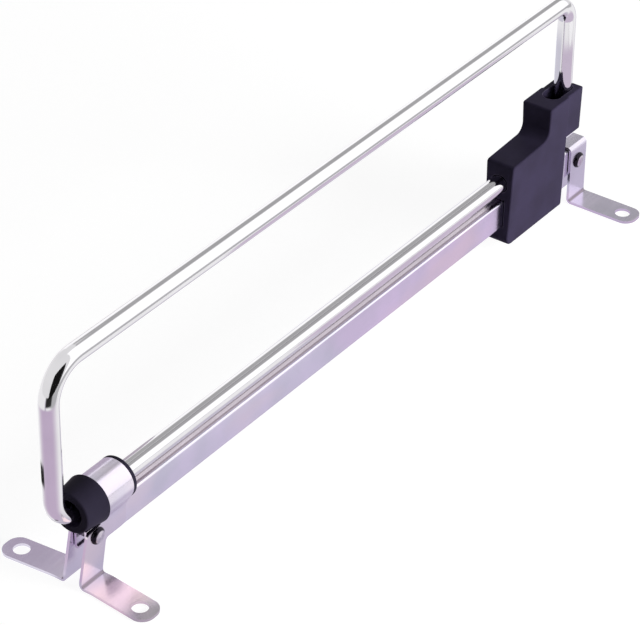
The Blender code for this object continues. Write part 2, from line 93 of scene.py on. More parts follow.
# %% Read the loop's centre lines
loop_low, loop_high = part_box("loop_rod")
ROD_R = loop_high.x
FRONT_LEG_Y = loop_low.y + ROD_R
REAR_LEG_Y = loop_high.y - ROD_R
TOP_RUN_Z = loop_high.z - ROD_R
LOW_RUN_Z = loop_low.z + ROD_R
print(f"rod {2000 * ROD_R:.1f} mm, loop {1000 * (REAR_LEG_Y - FRONT_LEG_Y):.1f} mm long")


# %% [markdown]
# ## Helpers for shaping
# Most pieces of the rail are one of two kinds. A pressed or moulded piece is a flat outline pushed
# along a line, and a turned piece is a profile spun about an axis. Short helpers make these, and the
# straight and round tools for cutting. One more rounds edges, and the last cuts one closed shape out of
# another, or joins the two, with the exact Boolean.


# %% Push an outline into a solid
SAME_SPOT = 1e-7


def verts_of(geom):
    return [g for g in geom if isinstance(g, bmesh.types.BMVert)]


def raised(bm, way):
    """Every face of a flat outline pushed along a way into a closed solid."""
    grown = bmesh.ops.extrude_face_region(bm, geom=list(bm.faces))["geom"]
    bmesh.ops.translate(bm, vec=way, verts=verts_of(grown))
    bmesh.ops.recalc_face_normals(bm, faces=bm.faces)
    return bm


def pressed(corners, way):
    """A closed outline of a few corners, pushed along a way."""
    bm = bmesh.new()
    bm.faces.new([bm.verts.new(corner) for corner in corners])
    return raised(bm, way)


def bar_tool(half_width, start_y, length, low_z, high_z):
    """A straight tool along the rail, as wide to the left of its middle as to the right."""
    corners = [(-half_width, low_z), (half_width, low_z), (half_width, high_z), (-half_width, high_z)]
    return pressed([(x, start_y, z) for x, z in corners], Vector((0, length, 0)))


def drill(start, way, radius, sides=48):
    """A round or many-sided tool from a start point along a way."""
    bm = bmesh.new()
    facing = Matrix.Translation(start) @ way.to_track_quat("Z", "Y").to_matrix().to_4x4()
    bmesh.ops.create_circle(bm, cap_ends=True, radius=radius, segments=sides, matrix=facing)
    return raised(bm, way)


# %% Spin a profile into a turned piece
def turned(profile, centre, along, across, steps=96):
    """A closed profile of (radius, distance along) spun a full turn about the axis through the centre."""
    bm = bmesh.new()
    spots = [bm.verts.new(centre + across * r + along * s) for r, s in profile]
    ring = [bm.edges.new(pair) for pair in zip(spots, spots[1:] + spots[:1])]
    turn = {"cent": centre, "axis": along, "angle": math.tau, "steps": steps, "use_merge": True}
    bmesh.ops.spin(bm, geom=spots + ring, **turn)
    bmesh.ops.remove_doubles(bm, verts=bm.verts, dist=SAME_SPOT)
    bmesh.ops.dissolve_degenerate(bm, dist=SAME_SPOT / 10, edges=bm.edges)
    bmesh.ops.recalc_face_normals(bm, faces=bm.faces)
    return bm


def arc(centre, radius, start_deg, end_deg, steps=8):
    """Points of an arc, for the rounded corners of a profile."""
    angles = [math.radians(start_deg + (end_deg - start_deg) * k / steps) for k in range(steps + 1)]
    return [(centre[0] + radius * math.cos(a), centre[1] + radius * math.sin(a)) for a in angles]


# %% Round edges, and cut or join solids
SHARP = math.radians(40)


def round_edges(bm, edges, radius, segments):
    shape = {"offset_type": "OFFSET", "affect": "EDGES", "profile": 0.5, "material": -1}
    bmesh.ops.bevel(bm, geom=edges, offset=radius, segments=segments, **shape)


def sharp_edges(bm):
    return [e for e in bm.edges if e.calc_face_angle(0) > SHARP]


def carved(bm, tool, operation="DIFFERENCE"):
    """The shape with the tool cut out of it or joined to it. Both are closed and are used up."""
    pair = []
    for shape in (bm, tool):
        mesh = bpy.data.meshes.new("carving")
        shape.to_mesh(mesh)
        shape.free()
        pair.append(bpy.data.objects.new("carving", mesh))
        bpy.context.scene.collection.objects.link(pair[-1])
    cut = pair[0].modifiers.new("cut", "BOOLEAN")
    cut.operation = operation
    cut.solver = "EXACT"
    cut.object = pair[1]
    result = bmesh.new()
    result.from_object(pair[0], bpy.context.evaluated_depsgraph_get())
    for helper in pair:
        mesh = helper.data
        bpy.data.objects.remove(helper)
        bpy.data.meshes.remove(mesh)
    return result


# %% [markdown]
# ## Helpers for finishing a piece
# Every piece ends the same way. It becomes an object at the origin with its place in its mesh, and it
# rides on a body in place of the solid that it stands for. Real corners catch a thin line of light, so
# a live bevel breaks each one. Weighted normals then keep the flat faces flat, because without them the
# shading of the bevel bleeds across the whole face.


# %% Turn a bmesh into a finished piece
SMOOTH_BELOW = math.radians(32)


def finish_piece(bm, material, node, edge=0.0):
    """The piece that stands for a node. An edge width breaks its sharp edges."""
    bmesh.ops.remove_doubles(bm, verts=bm.verts, dist=SAME_SPOT)
    name = "dressed_" + node
    mesh = bpy.data.meshes.new(name)
    bm.to_mesh(mesh)
    bm.free()
    mesh.shade_smooth()
    mesh.set_sharp_from_angle(angle=SMOOTH_BELOW)
    mesh.materials.clear()
    mesh.materials.append(material)
    piece = bpy.data.objects.new(name, mesh)
    bpy.context.scene.collection.objects.link(piece)
    if edge:
        broken = piece.modifiers.new("broken edges", "BEVEL")
        broken.width = edge
        broken.segments = 3
        broken.limit_method = "ANGLE"
        broken.angle_limit = SHARP
    flats = piece.modifiers.new("flat faces stay flat", "WEIGHTED_NORMAL")
    flats.keep_sharp = True
    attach(piece, nodes[node]["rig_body"])
    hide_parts(node)


# %% [markdown]
# ## Finishes
# A finish is a small tree of shader nodes. Noise in the piece's own coordinates varies its colour and
# its roughness, and a bump gives it a surface. The helpers below make the nodes that the finishes
# share.


# %% Shader node helpers
def new_finish(name):
    material = bpy.data.materials.new(name)
    material.use_nodes = True
    tree = material.node_tree
    return material, tree.nodes, tree.links, tree.nodes["Principled BSDF"]


def object_noise(tree_nodes, links, scale, detail, stretch=(1, 1, 1)):
    """Noise in the piece's own coordinates. A small stretch value makes it longer along that axis."""
    coords = tree_nodes.new("ShaderNodeTexCoord")
    mapping = tree_nodes.new("ShaderNodeMapping")
    mapping.inputs["Scale"].default_value = stretch
    noise = tree_nodes.new("ShaderNodeTexNoise")
    noise.inputs["Scale"].default_value = scale
    noise.inputs["Detail"].default_value = detail
    links.new(coords.outputs["Object"], mapping.inputs["Vector"])
    links.new(mapping.outputs["Vector"], noise.inputs["Vector"])
    return noise.outputs["Fac"]


def ramp(tree_nodes, links, source, low, high, start=0.35, end=0.65):
    """Maps a grey value to a range of numbers or colours."""
    node = tree_nodes.new("ShaderNodeValToRGB")
    node.color_ramp.elements[0].position = start
    node.color_ramp.elements[1].position = end
    for element, value in zip(node.color_ramp.elements, (low, high)):
        element.color = (*value, 1) if isinstance(value, tuple) else (value, value, value, 1)
    links.new(source, node.inputs["Fac"])
    return node.outputs["Color"]


def patches(tree_nodes, links, amount, ground, patch):
    """One colour over another where the amount is high."""
    node = tree_nodes.new("ShaderNodeMix")
    node.data_type = "RGBA"
    links.new(amount, node.inputs["Factor"])
    links.new(ground, node.inputs["A"])
    node.inputs["B"].default_value = (*patch, 1)
    return node.outputs["Result"]


def bump(tree_nodes, links, shader, height, strength, distance):
    node = tree_nodes.new("ShaderNodeBump")
    node.inputs["Strength"].default_value = strength
    node.inputs["Distance"].default_value = distance
    links.new(height, node.inputs["Height"])
    links.new(node.outputs["Normal"], shader.inputs["Normal"])


# %% [markdown]
# Stains, and painted highlights and shade, lie at known places on this rail. The distance from a place
# drives a soft mask for each of them. Leaving out one direction turns a round stain into a line.


# %% Masks for stains and for painted light and shade
def smooth_range(tree_nodes, links, value, from_min, from_max):
    """One below the first limit, falling to zero at the second. With the limits swapped it rises."""
    node = tree_nodes.new("ShaderNodeMapRange")
    node.interpolation_type = "SMOOTHSTEP"
    node.inputs["From Min"].default_value = from_min
    node.inputs["From Max"].default_value = from_max
    node.inputs["To Min"].default_value = 1.0
    node.inputs["To Max"].default_value = 0.0
    links.new(value, node.inputs["Value"])
    return node.outputs["Result"]


def nearness(tree_nodes, links, place, full, none, coords=None):
    """One close to a place on the piece and zero further away."""
    coords = coords or tree_nodes.new("ShaderNodeTexCoord").outputs["Object"]
    away = tree_nodes.new("ShaderNodeVectorMath")
    away.operation = "DISTANCE"
    away.inputs[1].default_value = place
    links.new(coords, away.inputs[0])
    return smooth_range(tree_nodes, links, away.outputs["Value"], full, none)


def flattened(tree_nodes, links, keep, both_sides=False):
    """The place on the piece with some of its directions left out. It can be the same on both sides."""
    place = tree_nodes.new("ShaderNodeTexCoord").outputs["Object"]
    if both_sides:
        mirrored = tree_nodes.new("ShaderNodeVectorMath")
        mirrored.operation = "ABSOLUTE"
        links.new(place, mirrored.inputs[0])
        place = mirrored.outputs["Vector"]
    squash = tree_nodes.new("ShaderNodeMapping")
    squash.inputs["Scale"].default_value = keep
    links.new(place, squash.inputs["Vector"])
    return squash.outputs["Vector"]


def line_along(tree_nodes, links, place, full, none):
    """A line along the rail on either side of its middle, at a distance and height across it."""
    section = flattened(tree_nodes, links, (1, 0, 1), both_sides=True)
    return nearness(tree_nodes, links, (place[0], 0, place[1]), full, none, section)


# %% [markdown]
# The loop is polished chrome over steel. Chrome has hardly a colour of its own, so its look comes from
# what it mirrors. Faint clouds in the roughness and a very low wave in the surface stand for the
# polishing, and keep the reflections from being as perfect as glass. A dark line is painted along the
# lower run, a little to the right of its top, as a painted dark reflection.


# %% Polished chrome for the loop
# Painted dark reflection: a dark line along the lower run, a little to the right of its top.
ROD_LINE_TURN = math.radians(62.6)
ROD_PAINTED_LINE = (ROD_R * math.cos(ROD_LINE_TURN), 0, LOW_RUN_Z + ROD_R * math.sin(ROD_LINE_TURN))
ROD_LINE_FULL, ROD_LINE_END = 0.40 * MM, 0.80 * MM
CHROME_DARK, CHROME_PALE = (0.68, 0.67, 0.69), (0.72, 0.71, 0.73)
CHROME_PAINTED_DARK = (0.24, 0.235, 0.245)


def polished_chrome():
    material, tree_nodes, links, shader = new_finish("polished chrome")
    shader.inputs["Metallic"].default_value = 1.0
    clouds = object_noise(tree_nodes, links, scale=60, detail=3)
    tone = ramp(tree_nodes, links, clouds, CHROME_DARK, CHROME_PALE)
    section = flattened(tree_nodes, links, (1, 0, 1))
    # The dark line is a painted reflection, laid over the chrome's colour.
    painted_dark = nearness(tree_nodes, links, ROD_PAINTED_LINE, ROD_LINE_FULL, ROD_LINE_END, section)
    tone = patches(tree_nodes, links, painted_dark, tone, CHROME_PAINTED_DARK)
    links.new(tone, shader.inputs["Base Color"])
    links.new(ramp(tree_nodes, links, clouds, low=0.06, high=0.10), shader.inputs["Roughness"])
    wave = object_noise(tree_nodes, links, scale=35, detail=2)
    bump(tree_nodes, links, shader, wave, strength=0.05, distance=0.5 * MM)
    return material


chrome = polished_chrome()
print("finish:", chrome.name)


# %% [markdown]
# The channel and the brackets are stamped from sheet and bright plated. The plating is thin, so it has
# a lilac cast with a warm blush in patches, and the rolling of the sheet leaves a fine grain along the
# rail. A dark line along the folds over the feet is painted shade in those creases. A foot that is
# handled goes pale and warm, with a duller tip, so two soft round stains are laid over the front right
# one. Along the top of the channel a pale band is a painted highlight, and a dark line on either side
# of it is painted shade of the gap under the lower run.


# %% Where the sheet is stained, and where light and shade are painted on it
WARM_BLUSH = (0.86, 0.74, 0.75)
HANDLED_FOOT = ((19 * MM, FRONT_LEG_Y + 12 * MM, 0), 8 * MM, 18 * MM)
HANDLED_PINK = (0.93, 0.76, 0.79)
DULL_TIP = ((37 * MM, FRONT_LEG_Y + 9 * MM, 0), 6 * MM, 15 * MM)
DULL_GREY = (0.50, 0.46, 0.50)
# Painted shade along the folds over the feet, where the creases are shaded.
FOLD_LINE = ((5.1 * MM, 1.8 * MM), 0.35 * MM, 0.95 * MM)
FOLD_SHADE = (0.20, 0.16, 0.20)
# Painted highlight along the channel's top, and painted shade of the gap on either side of it.
TOP_PAINTED_HIGHLIGHT = (1.0, 0.90, 1.0)
GAP_PAINTED_SHADE = (0.44, 0.37, 0.43)
GAP_SHADE_X = 1.35 * MM
channel_low, channel_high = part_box("rail_channel")
TOP_HIGHLIGHT_LINE = ((0, channel_high.z), 1.0 * MM, 1.5 * MM)
GAP_SHADE_LINES = ((GAP_SHADE_X, channel_high.z), 0.25 * MM, 0.80 * MM)
print(f"painted top highlight at {1000 * channel_high.z:.1f} mm above the floor")


# %% Bright plated sheet for the channel and brackets
def plated_sheet(name, dark_lilac, pale_lilac, painted_top_light=False):
    material, tree_nodes, links, shader = new_finish(name)
    shader.inputs["Metallic"].default_value = 1.0
    clouds = object_noise(tree_nodes, links, scale=45, detail=4)
    tone = ramp(tree_nodes, links, clouds, dark_lilac, pale_lilac)
    spread = object_noise(tree_nodes, links, scale=30, detail=3, stretch=(1.0, 0.6, 1.3))
    amount = ramp(tree_nodes, links, spread, low=0.0, high=0.55, start=0.52, end=0.70)
    tone = patches(tree_nodes, links, amount, tone, WARM_BLUSH)
    for stain, colour in ((HANDLED_FOOT, HANDLED_PINK), (DULL_TIP, DULL_GREY)):
        tone = patches(tree_nodes, links, nearness(tree_nodes, links, *stain), tone, colour)
    # Painted shade in the folds.
    lines = [(FOLD_LINE, FOLD_SHADE)]
    # On the channel, a painted highlight and painted gap shade along its top.
    if painted_top_light:
        lines += [(TOP_HIGHLIGHT_LINE, TOP_PAINTED_HIGHLIGHT), (GAP_SHADE_LINES, GAP_PAINTED_SHADE)]
    for line, colour in lines:
        tone = patches(tree_nodes, links, line_along(tree_nodes, links, *line), tone, colour)
    links.new(tone, shader.inputs["Base Color"])
    grain = object_noise(tree_nodes, links, scale=900, detail=3, stretch=(1, 0.06, 1))
    links.new(ramp(tree_nodes, links, grain, low=0.17, high=0.26), shader.inputs["Roughness"])
    bump(tree_nodes, links, shader, grain, strength=0.12, distance=0.1 * MM)
    return material


plated = plated_sheet("plated sheet", (0.62, 0.59, 0.69), (0.70, 0.65, 0.77))
# The channel's finish carries the painted top highlight and the painted gap shade.
channel_finish = plated_sheet(
    "plated sheet with painted top light", (0.67, 0.66, 0.75), (0.76, 0.71, 0.84), painted_top_light=True
)
print("finishes:", plated.name, "and", channel_finish.name)


# %% [markdown]
# Rivets and screws are plain steel with a thin zinc coat. Tumbling in a drum leaves them with small
# dull spots, which a fine noise gives in colour, roughness and bump alike. The front of each rivet's
# head is painted near black as painted shade, so only a round spot set back from its middle keeps the
# steel's colour.


# %% Steel for rivets and screws
# Painted shade on the front of each rivet's head; only a round spot keeps the steel's colour.
RIVET_PAINTED_SHADE = (0.02, 0.017, 0.024)
LIT_SPOT_BACK, LIT_SPOT_DOWN = 0.2 * MM, 0.3 * MM
LIT_SPOT_R, SHADE_START_R = 2.5 * MM, 2.9 * MM
SPOT_SHADE = 0.82


def fastener_steel(name, colour, rivet=None):
    material, tree_nodes, links, shader = new_finish(name)
    shader.inputs["Metallic"].default_value = 1.0
    spots = object_noise(tree_nodes, links, scale=500, detail=3)
    tone = ramp(tree_nodes, links, spots, tuple(SPOT_SHADE * c for c in colour), colour)
    # Painted shade over the front of a rivet's head.
    if rivet:
        low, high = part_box(rivet)
        lit_spot = (0, (low.y + high.y) / 2 + LIT_SPOT_BACK, (low.z + high.z) / 2 - LIT_SPOT_DOWN)
        side_on = flattened(tree_nodes, links, (0, 1, 1))
        painted_dark = nearness(tree_nodes, links, lit_spot, SHADE_START_R, LIT_SPOT_R, side_on)
        tone = patches(tree_nodes, links, painted_dark, tone, RIVET_PAINTED_SHADE)
    links.new(tone, shader.inputs["Base Color"])
    links.new(ramp(tree_nodes, links, spots, low=0.16, high=0.28), shader.inputs["Roughness"])
    bump(tree_nodes, links, shader, spots, strength=0.10, distance=0.1 * MM)
    return material


rivet_steel = {}
for end in ("front", "rear"):
    rivet_steel[end] = fastener_steel(end + " rivet steel", (0.58, 0.53, 0.61), end + "_rivet_right")
screw_steel = fastener_steel("zinc screw steel", (0.60, 0.60, 0.58))
print("finishes:", [finish.name for finish in (*rivet_steel.values(), screw_steel)])


# %% [markdown]
# The bush, its ring and the carriage are moulded in black plastic with a fine satin texture. Moulded
# black is never quite even: a slow haze lightens it a little, and the texture scatters its highlights.
# Its edges are painted paler, as a painted highlight where an edge catches the light. A Bevel node
# finds them, because it turns the surface direction only close to an edge. The bush is a harder,
# blacker plastic than the carriage.


# %% Satin black plastic
# Painted highlight: the edges of the black plastic are painted paler where they would catch the light.
EDGE_HIGHLIGHT_R = 0.9 * MM
HIGHLIGHT_MATCH, FLAT_MATCH = 0.80, 0.99
HAZE_SHADE = 0.76
SATIN_GLOSS = 0.03


def painted_edge_highlight(tree_nodes, links):
    """One along the edges of a piece and zero on its flats."""
    rounded = tree_nodes.new("ShaderNodeBevel")
    rounded.samples = 8
    rounded.inputs["Radius"].default_value = EDGE_HIGHLIGHT_R
    same = tree_nodes.new("ShaderNodeVectorMath")
    same.operation = "DOT_PRODUCT"
    links.new(rounded.outputs["Normal"], same.inputs[0])
    links.new(tree_nodes.new("ShaderNodeNewGeometry").outputs["Normal"], same.inputs[1])
    return smooth_range(tree_nodes, links, same.outputs["Value"], HIGHLIGHT_MATCH, FLAT_MATCH)


def black_plastic(name, colour, edge_highlight):
    material, tree_nodes, links, shader = new_finish(name)
    haze = object_noise(tree_nodes, links, scale=70, detail=4)
    tone = ramp(tree_nodes, links, haze, tuple(HAZE_SHADE * c for c in colour), colour)
    # The paler edge colour is a painted highlight.
    tone = patches(tree_nodes, links, painted_edge_highlight(tree_nodes, links), tone, edge_highlight)
    links.new(tone, shader.inputs["Base Color"])
    links.new(ramp(tree_nodes, links, haze, low=0.42, high=0.54), shader.inputs["Roughness"])
    grain = object_noise(tree_nodes, links, scale=2600, detail=2)
    bump(tree_nodes, links, shader, grain, strength=0.15, distance=0.12 * MM)
    shader.inputs["Specular IOR Level"].default_value = SATIN_GLOSS
    return material


black = black_plastic("satin black plastic", (0.052, 0.043, 0.084), (0.125, 0.112, 0.170))
bush_black = black_plastic("hard black plastic", (0.033, 0.028, 0.050), (0.045, 0.040, 0.060))
print("finishes:", black.name, "and", bush_black.name)

# %% [markdown]
# ## The hanging loop
# The real loop is a straight rod that is bent three times. A curve with a round bevel could make it
# too, but here it is made as the bender does it: a circle is pushed along each straight with an extrude
# and carried round each bend with a spin, so the rod keeps one even thickness all the way.

# %% Push and bend a ring of edges
REAR_TOP_BEND = 9 * MM
FRONT_TOP_BEND = 15 * MM
FRONT_LOW_BEND = 12 * MM
REAR_LEG_SUNK = 16.5 * MM
LOW_RUN_SHORT = 19.8 * MM
carriage_low, carriage_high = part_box("carriage_block")
REAR_LEG_END_Z = carriage_high.z - REAR_LEG_SUNK
LOW_RUN_END_Y = carriage_high.y - LOW_RUN_SHORT
print(f"loop ends at {1000 * REAR_LEG_END_Z:.1f} mm up and {1000 * LOW_RUN_END_Y:.1f} mm back")


def push(bm, ring, way):
    grown = bmesh.ops.extrude_edge_only(bm, edges=ring)["geom"]
    bmesh.ops.translate(bm, vec=way, verts=verts_of(grown))
    return [g for g in grown if isinstance(g, bmesh.types.BMEdge) and len(g.link_faces) == 1]


def bend(bm, ring, centre, quarter, steps=24):
    corners = list({v for e in ring for v in e.verts})
    turn = {"cent": centre, "axis": (1, 0, 0), "angle": quarter, "steps": steps}
    last = bmesh.ops.spin(bm, geom=corners + ring, **turn)["geom_last"]
    return [g for g in last if isinstance(g, bmesh.types.BMEdge)]


# %% Follow the loop from its rear end to its lower end
bm = bmesh.new()
foot = Vector((0, REAR_LEG_Y, REAR_LEG_END_Z))
quarter = math.radians(90)
bmesh.ops.create_circle(bm, radius=ROD_R, segments=72, matrix=Matrix.Translation(foot))
ring = push(bm, list(bm.edges), Vector((0, 0, TOP_RUN_Z - REAR_TOP_BEND - REAR_LEG_END_Z)))
ring = bend(bm, ring, (0, REAR_LEG_Y - REAR_TOP_BEND, TOP_RUN_Z - REAR_TOP_BEND), quarter)
ring = push(bm, ring, Vector((0, FRONT_LEG_Y + FRONT_TOP_BEND - REAR_LEG_Y + REAR_TOP_BEND, 0)))
ring = bend(bm, ring, (0, FRONT_LEG_Y + FRONT_TOP_BEND, TOP_RUN_Z - FRONT_TOP_BEND), quarter)
ring = push(bm, ring, Vector((0, 0, LOW_RUN_Z + FRONT_LOW_BEND - TOP_RUN_Z + FRONT_TOP_BEND)))
ring = bend(bm, ring, (0, FRONT_LEG_Y + FRONT_LOW_BEND, LOW_RUN_Z + FRONT_LOW_BEND), quarter)
push(bm, ring, Vector((0, LOW_RUN_END_Y - FRONT_LEG_Y - FRONT_LOW_BEND, 0)))
print("loop:", len(bm.faces), "faces along the rod")

# %% Close both ends and sink their tapped holes
TAP_R = 2.05 * MM
TAP_DEPTH = 12 * MM
bmesh.ops.remove_doubles(bm, verts=bm.verts, dist=SAME_SPOT)
ends = bmesh.ops.holes_fill(bm, edges=[e for e in bm.edges if e.is_boundary])["faces"]
bmesh.ops.recalc_face_normals(bm, faces=bm.faces)
for end in ends:
    outwards = end.normal.copy()
    bmesh.ops.inset_region(bm, faces=[end], thickness=ROD_R - TAP_R)
    floor_of_hole = bmesh.ops.extrude_discrete_faces(bm, faces=[end])["faces"][0]
    bmesh.ops.translate(bm, vec=-TAP_DEPTH * outwards, verts=floor_of_hole.verts)
finish_piece(bm, chrome, "loop_rod")

# %% [markdown]
# ## The channel
# The channel is one strip folded into a narrow C that opens downwards, with two lips for the carriage
# to hold on to. Folding it up wall by wall would work, but all its walls run straight to the back, so
# its section is drawn once and pushed along. Only the outer corners of the folds are rounded, by
# bevels.

# %% Draw the channel's section and push it along the rail
CHANNEL_SHEET = 1.0 * MM
CHANNEL_LIP = 1.8 * MM
TOP_FOLD_R = 0.95 * CHANNEL_SHEET
LIP_FOLD_R = 0.6 * MM
half = channel_high.x
inside = half - CHANNEL_SHEET
lip_edge = half - CHANNEL_LIP
over_lip = channel_low.z + CHANNEL_SHEET
under_top = channel_high.z - CHANNEL_SHEET
right_side = [(half, channel_high.z), (half, channel_low.z), (lip_edge, channel_low.z)]
right_side += [(lip_edge, over_lip), (inside, over_lip), (inside, under_top)]
section = right_side + [(-x, z) for x, z in reversed(right_side)]
run = Vector((0, channel_high.y - channel_low.y, 0))
channel = pressed([(x, channel_low.y, z) for x, z in section], run)
print(f"channel: {len(section)} corners, {1000 * run.y:.1f} mm long")


# %% Round the four folds
CLOSE = 1e-6
SHORTEST_FOLD = 100 * MM


def long_edges(bm, half_width, height):
    """The edges along the rail at a given distance from the middle and a given height."""
    found = []
    for edge in bm.edges:
        spots = [(abs(v.co.x) - half_width, v.co.z - height) for v in edge.verts]
        there = all(abs(d) < CLOSE for spot in spots for d in spot)
        if there and edge.calc_length() > SHORTEST_FOLD:
            found.append(edge)
    return found


for height, fold_r, segments in ((channel_high.z, TOP_FOLD_R, 6), (channel_low.z, LIP_FOLD_R, 4)):
    folds = long_edges(channel, half, height)
    round_edges(channel, folds, fold_r, segments)
    print(f"folds at {1000 * height:.1f} mm, radius {1000 * fold_r:.2f} mm")

# %% Cut the front back under the nose, and drill for the rivets
CLEAR = 0.3 * MM
SLEEVE_START = 20.4 * MM
RIVET_HOLE_R = 2.3 * MM
nose_low, nose_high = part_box("nose_bush")
sleeve_front_y = FRONT_LEG_Y + SLEEVE_START
notch_z = LOW_RUN_Z - nose_high.x - 3 * CLEAR
notch_y = sleeve_front_y + CLEAR
notch = [(-half - MM, channel_low.y - MM, notch_z), (-half - MM, notch_y, notch_z)]
notch += [(-half - MM, notch_y, LOW_RUN_Z), (-half - MM, channel_low.y - MM, LOW_RUN_Z)]
channel = carved(channel, pressed(notch, Vector((2 * half + 2 * MM, 0, 0))))
for rivet in ("front_rivet_right", "rear_rivet_right"):
    low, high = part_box(rivet)
    hole = Vector((-2 * half, (low.y + high.y) / 2, (low.z + high.z) / 2))
    channel = carved(channel, drill(hole, Vector((4 * half, 0, 0)), RIVET_HOLE_R))
finish_piece(channel, channel_finish, "rail_channel", edge=0.10 * MM)

# %% [markdown]
# ## The two brackets
# Each bracket is one strip. The front one wraps over the bush as a sleeve, draws in to the channel and
# folds out into two feet. Its solid already has these folds, so it is copied. The copy's loose
# triangles are merged into whole faces first, and then its cut edges get the small rounding of a
# stamped and plated edge.


# %% Copy a solid of the frame and break its edges
TRIANGLE_SEAM = 2e-6
FLAT_WITHIN = math.radians(0.5)


def solid_copy(node):
    bm = bmesh.new()
    bm.from_mesh(nodes[node].data)
    bmesh.ops.remove_doubles(bm, verts=bm.verts, dist=TRIANGLE_SEAM)
    bmesh.ops.dissolve_limit(bm, angle_limit=FLAT_WITHIN, verts=bm.verts, edges=bm.edges)
    return bm


for node in ("front_bracket", "rear_bracket"):
    finish_piece(solid_copy(node), plated, node, edge=0.18 * MM)

# %% [markdown]
# ## The nose bush and its ring
# The bush guides the lower run. Its nose is a slight cone in front of the sleeve, its body fills the
# sleeve, and a neck behind carries a thin ring that keeps it in. Both are round, so a profile spun
# about the lower run makes them. Under the sleeve they have a flat that clears the channel.

# %% Spin the bush
BORE_R = ROD_R + CLEAR
MOUTH_R, MOUTH_DEPTH, MOUTH_ROUND = 5.67 * MM, 4 * MM, 0.3 * MM
NOSE_TAPER, NOSE_ROUND = 1.4 * MM, 0.9 * MM
SHOULDER_Y, SHOULDER_ROUND = 20.1 * MM, 0.6 * MM
BODY_R = 7.3 * MM
NECK_R, NECK_LENGTH = 5.9 * MM, 1.5 * MM
rail_axis = Vector((0, FRONT_LEG_Y, LOW_RUN_Z))
nose_front = nose_low.y - FRONT_LEG_Y
nose_front_r = nose_high.x - NOSE_TAPER
bush_end = nose_high.y - FRONT_LEG_Y
neck = bush_end - NECK_LENGTH
profile = arc((MOUTH_R + MOUTH_ROUND, nose_front + MOUTH_ROUND), MOUTH_ROUND, 180, 270)
profile += arc((nose_front_r - NOSE_ROUND, nose_front + NOSE_ROUND), NOSE_ROUND, -90, 0)
profile += arc((nose_high.x - SHOULDER_ROUND, SHOULDER_Y - SHOULDER_ROUND), SHOULDER_ROUND, 0, 90)
profile += [(BODY_R, SHOULDER_Y), (BODY_R, neck), (NECK_R, neck), (NECK_R, bush_end)]
profile += [(BORE_R, bush_end), (BORE_R, nose_front + MOUTH_DEPTH)]
bush = turned(profile, rail_axis, Vector((0, 1, 0)), Vector((0, 0, 1)), 128)
print("bush:", len(profile), "points spun into", len(bush.faces), "faces")

# %% Cut the bush's flat
FLAT_HALF, FLAT_LENGTH = 9 * MM, 30 * MM
flat_z = channel_high.z + CLEAR
under = bar_tool(FLAT_HALF, sleeve_front_y - CLEAR / 2, FLAT_LENGTH, channel_low.z, flat_z)
bush = carved(bush, under)
finish_piece(bush, bush_black, "nose_bush", edge=0.12 * MM)

# %% Spin the ring and slice its flat
RING_SEATING = 0.2 * MM
ring_low, ring_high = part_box("bush_retaining_ring")
start = ring_low.y - FRONT_LEG_Y - RING_SEATING
inner, outer = NECK_R + CLEAR, ring_high.x
profile = [(inner, start), (outer, start), (outer, bush_end), (inner, bush_end)]
ring = turned(profile, rail_axis, Vector((0, 1, 0)), Vector((0, 0, 1)))
plane = {"plane_co": (0, 0, flat_z), "plane_no": (0, 0, -1), "clear_outer": True}
bmesh.ops.bisect_plane(ring, geom=[*ring.verts, *ring.edges, *ring.faces], **plane)
bmesh.ops.holes_fill(ring, edges=[e for e in ring.edges if e.is_boundary])
bmesh.ops.recalc_face_normals(ring, faces=ring.faces)
finish_piece(ring, bush_black, "bush_retaining_ring", edge=0.25 * MM)

# %% [markdown]
# ## The carriage
# The carriage is a moulded block with a step and a tower. It wraps round the channel, and both ends of
# the loop are screwed into it. A moulding has round corners, sides that lean a little so that it leaves
# the mould, and one soft rim all round. So the side outline is pushed across, its corners are rounded
# one by one, the sides are leaned with a shear, and the rim is bevelled last.

# %% Push the side outline across
LEAN = math.tan(math.radians(1.6))
COLUMN_LENGTH, TOWER_LENGTH = 11.4 * MM, 15.1 * MM
FRONT_SLOPE, STEP_SLOPE = 1.2 * MM, 1.2 * MM
STEP_DEPTH = 15.5 * MM
SIDE_WALL = 2.4 * MM
body_rear = carriage_high.y - COLUMN_LENGTH
tower_front = body_rear - TOWER_LENGTH
step_z = carriage_high.z - STEP_DEPTH
body_half = ROD_R + CLEAR + SIDE_WALL
side_corners = {
    "front bottom": ((carriage_low.y, carriage_low.z), 4.0 * MM),
    "rear bottom": ((body_rear, carriage_low.z), 1.0 * MM),
    "rear top": ((body_rear, carriage_high.z), 0),
    "tower top": ((tower_front, carriage_high.z), 1.0 * MM),
    "tower foot": ((tower_front, step_z + STEP_SLOPE), 4.5 * MM),
    "step front": ((carriage_low.y + FRONT_SLOPE, step_z), 1.5 * MM),
}
outline = [(-body_half, y, z) for (y, z), _ in side_corners.values()]
block = pressed(outline, Vector((2 * body_half, 0, 0)))
print(f"carriage: {len(outline)} corners, {2000 * body_half:.1f} mm wide")


# %% Round the corners, lean the sides and soften the rim
RIM_R = 0.7 * MM


def across_edge(bm, y, z):
    """The edge that runs straight across the block at a corner of its side outline."""
    for edge in bm.edges:
        if all(abs(v.co.y - y) < CLOSE and abs(v.co.z - z) < CLOSE for v in edge.verts):
            return edge


def lean_sides(bm):
    """Spreads both sides towards the top, from their set width at the lower run."""
    for side in (1, -1):
        wall = [v for v in bm.verts if v.co.x * side > 0]
        shear = Matrix(((1, 0, side * LEAN, 0), (0, 1, 0, 0), (0, 0, 1, 0), (0, 0, 0, 1)))
        from_run = Matrix.Translation((0, 0, -LOW_RUN_Z))
        bmesh.ops.transform(bm, matrix=shear, space=from_run, verts=wall)


